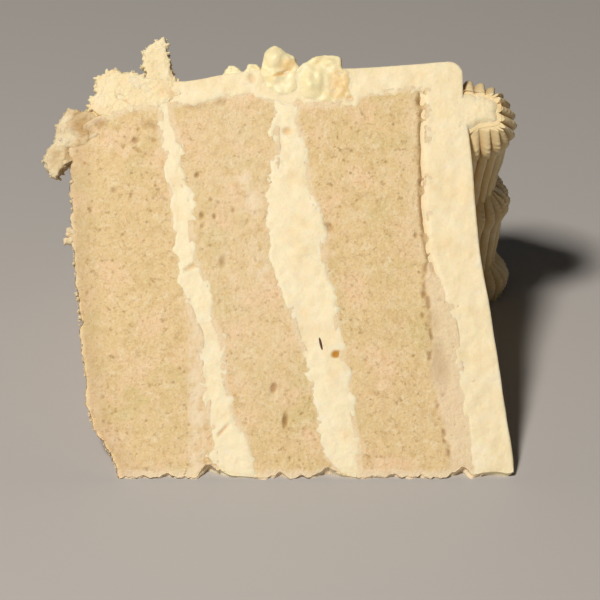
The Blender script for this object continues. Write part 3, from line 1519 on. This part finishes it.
def build_layers() -> None:
    """Builds the three sponges and the two fillings."""
    sponge = SpongeFinish("butter_sponge_crumb", roughness=0.85, translucency=0.12, depth=1.0)
    material = sponge.build()
    SpongeLayer(
        "bottom_sponge", "sponge_bottom", UNDERSIDE, LOWER_FILLING_UNDER, 3, BOTTOM_DIMPLES, BOTTOM_SMEARS,
        has_skin=True, cell=0.29, sweep=Sweep(broad_steps=72),
    ).build(material)  # fmt: skip
    SpongeLayer(
        "middle_sponge", "sponge_middle", LOWER_FILLING_OVER, UPPER_FILLING_UNDER, 5, MIDDLE_DIMPLES, MIDDLE_SMEARS
    ).build(material)
    SpongeLayer(
        "top_sponge", "sponge_top", UPPER_FILLING_OVER, ICING_UNDER, 7, TOP_DIMPLES, crusted=True
    ).build(material)
    EdgeCrumbs().build(material)
    crust = SpongeFinish("browned_crust", roughness=0.7, translucency=0.0, depth=0.5, crumb="#5A3416", blotches=())
    BrownedSliver().build(crust.build())
    cream = CreamFinish(
        "cut_buttercream", roughness=0.6, translucency=0.25, depth=1.6, cream="#FFEFCB", pit="#CB8D28"
    ).build()
    CreamFilling(
        "lower_cream", "filling_lower", LOWER_FILLING_UNDER, LOWER_FILLING_OVER, 11,
        (Dimple(-14.7, 9.6, 2.2, 0.4, 48, 0.6, 0.5), Dimple(-17.5, 9.5, 0.4, 7.0, 0, 0.4, 0.45),
         Dimple(-20.2, 42.3, 3.2, 0.8, 30, 0.5, 0.35)),
    ).build(cream)  # fmt: skip
    CreamFilling(
        "upper_cream", "filling_upper", UPPER_FILLING_UNDER, UPPER_FILLING_OVER, 13,
        (Dimple(6.9, 24.6, 1.1, 0.9, 20, 0.15, 1.3, 0.8), Dimple(-2.5, 69.3, 1.2, 1.0, 0, 0.5, 0.35)),
    ).build(cream)  # fmt: skip


def build_icing() -> None:
    """Builds the coat, and the lumps and scraps that the knife squeezed and tore out of it."""
    cream = CreamFinish(
        "smoothed_buttercream", roughness=0.6, translucency=0.25, depth=1.6, cream="#FDEBC4", deep="#F3D49C",
        mottle=0.4,
    ).build()
    IcingCoat(dimples=COAT_DIMPLES).build(cream)
    ShellStub().build(cream)
    soft = CreamFinish(
        "squeezed_buttercream", roughness=0.45, translucency=0.25, depth=1.4, cream="#FEEFC2", deep="#F8DE9E",
        pit="#E9B458", grain=0.4,
    ).build()
    IcingMass(
        "squeezed_lump_right", 51,
        blobs=(Blob(1.9, 79.0, -0.9, (3.0, 4.6, 1.9)), Blob(3.4, 79.4, -1.0, (1.7, 5.0, 1.9)),
         Blob(5.7, 83.4, -0.9, (2.6, 1.5, 1.6)), Blob(2.9, 83.1, -1.0, (1.9, 1.3, 1.5), 20),
         Blob(9.6, 77.0, -0.9, (1.5, 1.8, 1.5)), Blob(-0.6, 80.0, -0.9, (1.8, 2.0, 1.5))),
        outline=(
            (-0.8, 77.0), (0.6, 75.2), (4.3, 74.6), (7.0, 74.2), (10.8, 75.4), (11.2, 81.0), (8.4, 81.8), (8.0, 84.5),
            (6.3, 84.9), (4.6, 84.8), (2.9, 84.4), (1.6, 83.7), (0.4, 83.1), (-0.8, 81.6)
        ),
        front=0.3, thickness=3.2, fringe_gap=NO_FRINGE, voxel=0.26, smoothing=4, wave=0.3, relief=1.0, melt=0.9,
        dimples=(Dimple(7.9, 78.6, 2.7, 3.8, 0, 0.05, 0.5, 0.6), Dimple(9.8, 75.8, 0.8, 0.8, 0, 0.3, 1.0),
                 Dimple(8.3, 83.0, 0.5, 1.4, 0, 0.1, 0.5), Dimple(10.6, 79.0, 0.5, 2.6, 0, 0.1, 0.9)),
    ).build(soft)  # fmt: skip
    IcingMass(
        "squeezed_lump_middle", 52,
        blobs=(Blob(-4.8, 84.0, -0.9, (2.6, 2.8, 2.2)), Blob(-2.6, 83.3, -0.8, (2.0, 1.8, 1.8), -20),
         Blob(-4.6, 80.6, -0.9, (3.2, 2.2, 1.7), 15), Blob(-1.2, 78.6, -0.9, (2.6, 2.8, 1.5)),
         Blob(-4.2, 77.4, -0.9, (2.6, 1.8, 1.3))),
        outline=(
            (-8.2, 79.0), (-7.8, 81.0), (-7.5, 83.5), (-7.1, 84.8), (-6.4, 85.8), (-5.6, 86.5), (-4.9, 86.8),
            (-3.9, 86.5), (-2.8, 85.5), (-1.6, 85.0), (-0.9, 84.6), (-0.8, 83.3), (-0.2, 82.6), (0.6, 79.6),
            (-1.0, 76.0), (-4.5, 75.8), (-7.0, 77.4)
        ),
        front=0.25, thickness=3.2, fringe_gap=NO_FRINGE, voxel=0.26, smoothing=4, wave=0.3, relief=1.0, melt=0.9,
        dimples=(Dimple(-2.2, 82.8, 2.4, 1.4, 20, 0.1, 0.5, 0.8), Dimple(-3.3, 81.1, 2.8, 0.6, 24, 0.35, 0.8)),
    ).build(soft)  # fmt: skip
    IcingMass(
        "squeezed_lump_left", 53,
        outline=(
            (-15.2, 80.6), (-14.6, 82.0), (-14.0, 82.8), (-12.9, 82.9), (-12.0, 82.0), (-11.0, 81.2), (-10.4, 82.9),
            (-9.1, 83.2), (-8.0, 82.8), (-7.8, 80.0), (-10.0, 79.6), (-12.5, 79.6)
        ),
        front=-0.35, thickness=1.8, fringe_gap=0.5, fringe=(0.2, 0.35), bumps=14, bump_size=(0.5, 1.0),
        bump_top=(-0.4, -0.1), smoothing=2, wave=0.3, crumb=0.1,
        dimples=(Dimple(-9.2, 82.3, 1.2, 0.9, 0, 0.1, 0.15), Dimple(-10.8, 80.9, 0.6, 1.3, 20, 0.3, 0.4)),
    ).build(soft)  # fmt: skip
    torn = CreamFinish(
        "torn_crumb_coat", roughness=0.6, translucency=0.25, depth=1.2, cream="#FCE9BF", deep="#F1D29C", grain=0.8,
        grain_size=0.5,
    ).build()  # fmt: skip
    dried = CreamFinish(
        "dried_crumb_coat", roughness=0.65, translucency=0.25, depth=1.2, cream="#F7E6BC", deep="#EACF9A", mottle=0.5,
        grain=0.6,
    ).build()  # fmt: skip
    IcingMass(
        "torn_foot", 54,
        outline=(
            (-23.5, 79.3), (-27.0, 79.9), (-30.5, 80.1), (-31.8, 80.7), (-32.8, 81.2), (-33.8, 81.2), (-34.8, 80.9),
            (-35.7, 81.7), (-36.9, 81.9), (-37.7, 81.4), (-38.7, 80.8), (-39.7, 80.5), (-39.8, 78.8), (-39.4, 77.6),
            (-40.1, 76.3), (-41.0, 75.3), (-40.9, 73.9), (-39.4, 72.7), (-36.5, 72.0), (-33.0, 72.4), (-27.0, 74.6),
            (-23.3, 77.0)
        ),
        thickness=5.0, bumps=60, bump_size=(0.6, 1.5), bump_top=(-0.1, 0.2), fringe=(0.25, 0.6), voxel=0.18,
        smoothing=1, crumb=0.09, crumb_size=0.7, dimples=TORN_DIMPLES,
    ).build(torn)  # fmt: skip
    IcingMass(
        "torn_flake", 55,
        outline=(
            (-30.3, 79.0), (-30.0, 81.0), (-29.9, 82.4), (-31.0, 82.6), (-30.9, 83.1), (-30.0, 84.1), (-30.7, 85.4),
            (-30.4, 85.9), (-29.8, 86.7), (-27.8, 87.9), (-26.7, 88.7), (-26.5, 87.8), (-26.5, 86.4), (-26.1, 85.1),
            (-25.6, 83.7), (-25.1, 82.0), (-24.6, 80.6), (-24.2, 79.0)
        ),
        front=-0.2, thickness=2.2, bumps=30, bump_size=(0.5, 1.0), bump_top=(-0.1, 0.2), voxel=0.18, crumb=0.1,
        crumb_size=0.7,
        dimples=(Dimple(-25.0, 81.6, 0.9, 2.4, 15, 0.3, 0.35), Dimple(-28.2, 83.0, 1.6, 1.0, 0, 0.1, 0.1)),
    ).build(dried)  # fmt: skip
    hanging = CreamFinish(
        "crumbed_icing_scrap", roughness=0.65, translucency=0.25, depth=1.2, cream="#E8D6B0", deep="#CDAB74",
        pit="#B78C46", mottle=0.9, grain=0.8, grain_size=0.5,
    ).build()  # fmt: skip
    IcingMass(
        "hanging_scrap_upper", 56,
        outline=(
            (-39.6, 72.4), (-41.3, 73.4), (-42.8, 73.1), (-43.7, 73.7), (-44.7, 74.0), (-45.7, 73.2), (-46.5, 71.9),
            (-47.3, 70.5), (-47.2, 69.4), (-47.3, 67.8), (-46.4, 66.4), (-44.0, 66.0), (-41.6, 66.6), (-39.4, 68.4)
        ),
        front=-0.3, thickness=4.5, bumps=30, bump_size=(0.8, 1.8), bump_top=(0.0, 0.6), smoothing=2, crumb=0.15,
        dimples=(Dimple(-42.6, 70.4, 3.2, 2.6, -20, 0.15, 0.7, 0.8), Dimple(-43.6, 73.0, 1.2, 1.2, 0, 0.0, 0.4)),
    ).build(hanging)  # fmt: skip
    IcingMass(
        "hanging_scrap_lower", 57,
        outline=(
            (-47.3, 68.4), (-47.9, 67.0), (-48.9, 66.0), (-49.6, 64.6), (-49.9, 63.4), (-49.1, 62.3), (-48.5, 61.2),
            (-47.9, 60.4), (-47.3, 60.4), (-46.8, 61.7), (-46.2, 62.6), (-45.2, 63.0), (-43.8, 63.6), (-43.6, 66.0),
            (-44.6, 67.6)
        ),
        front=-0.5, thickness=3.4, bumps=26, bump_size=(0.6, 1.3), bump_top=(0.0, 0.4), crumb=0.15, smoothing=2,
        dimples=(Dimple(-44.9, 64.8, 1.3, 2.8, 0, 0.3, 0.75),),
    ).build(hanging)  # fmt: skip


def build_border() -> None:
    """Builds the piped shells."""
    piped = CreamFinish(
        "piped_buttercream", roughness=0.45, translucency=0.15, depth=0.9, cream="#F7E0AE", pit="#C9A060"
    ).build()
    PipedShell("shell_first", 45.6, 20.9, 61, "shell_1", (4.0, 7.9), CUT_SHELL_HALF_WIDTH, CUT_SHELL_HEIGHT).build(
        piped
    )
    PipedShell("shell_second", 22.9, 5.4, 62, "shell_2").build(piped)
    PipedShell("shell_third", 7.4, -12.0, 63, "shell_3").build(piped)


def main() -> None:
    """Builds the slice and its studio."""
    noise.seed_set(DRIFT_SEED)
    logging.basicConfig(level=logging.INFO, format="%(message)s")
    build_layers()
    build_icing()
    build_border()
    Studio().build()


if __name__ == "__main__":
    main()
